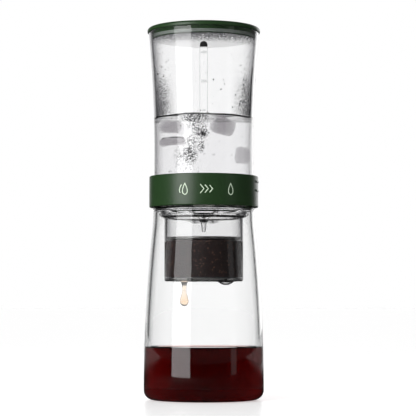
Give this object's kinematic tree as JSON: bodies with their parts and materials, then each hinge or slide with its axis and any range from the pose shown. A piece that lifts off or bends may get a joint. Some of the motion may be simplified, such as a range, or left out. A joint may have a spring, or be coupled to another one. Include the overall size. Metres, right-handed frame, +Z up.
{
  "type": "cold brew coffee maker",
  "caption": "Tall cold drip coffee maker: a flared water tank drips through a dial-set valve into a cup of ground coffee, which hangs in the mouth of a glass carafe.",
  "frame": {"origin": "on the table at the centre of the foot", "axes": "+Z up along the axis of the stack, -Y towards the front with the dial's icons and the scale"},
  "size_m": [0.0932, 0.0932, 0.29],
  "materials": {
    "carafe_glass": "clear",
    "clear_plastic": "clear",
    "green_plastic": "satin",
    "dark_silicone": "matte",
    "grey_silicone": "translucent matte",
    "steel": "brushed",
    "white_nylon": "matte"
  },
  "bodies": {
    "carafe": {"carafe": "carafe_glass"},
    "cup": {"cup_body": "clear_plastic", "cup_centring_ring": "grey_silicone", "cup_filter_disc": "steel", "filter_retaining_ring": "dark_silicone"},
    "spreader": {"spreader_disc": "steel"},
    "cover": {"cup_cover": "clear_plastic"},
    "tank": {"drip_funnel": "clear_plastic", "drip_nozzle": "clear_plastic", "tank_body": "clear_plastic", "valve_body": "white_nylon", "valve_o_ring": "dark_silicone", "valve_circlip": "steel", "valve_seat": "grey_silicone"},
    "dial": {"dial_ring": "green_plastic", "dial_hub": "clear_plastic", "dial_bearing_ring": "white_nylon"},
    "needle": {"needle_carrier": "white_nylon", "needle": "steel", "cam_pins": "steel"},
    "lid": {"lid_cap": "green_plastic", "lid_plug": "green_plastic", "lid_seal": "grey_silicone"}
  },
  "joints": [
    {"name": "cup_lift", "type": "slide", "parent": "carafe", "child": "cup", "axis": [0, 0, 1], "range_m": [0, 0.065]},
    {"name": "spreader_lift", "type": "slide", "parent": "cup", "child": "spreader", "axis": [0, 0, 1], "range_m": [0, 0.035]},
    {"name": "cover_lift", "type": "slide", "parent": "spreader", "child": "cover", "axis": [0, 0, 1], "range_m": [0, 0.02]},
    {"name": "tank_lift", "type": "slide", "parent": "cover", "child": "tank", "axis": [0, 0, 1], "range_m": [0, 0.03]},
    {"name": "lid_lift", "type": "slide", "parent": "tank", "child": "lid", "axis": [0, 0, 1], "range_m": [0, 0.025]},
    {"name": "dial_turn", "type": "hinge", "parent": "tank", "child": "dial", "pos_m": [0, 0, 0.16], "axis": [0, 0, 1], "range_deg": [-30, 30]},
    {"name": "needle_lift", "type": "slide", "parent": "tank", "child": "needle", "axis": [0, 0, 1], "range_m": [-0.00061, 0.00061]}
  ],
  "couplings": [
    {"joint": "needle_lift", "follows": "dial_turn", "m_per_rad": 0.0011459}
  ]
}
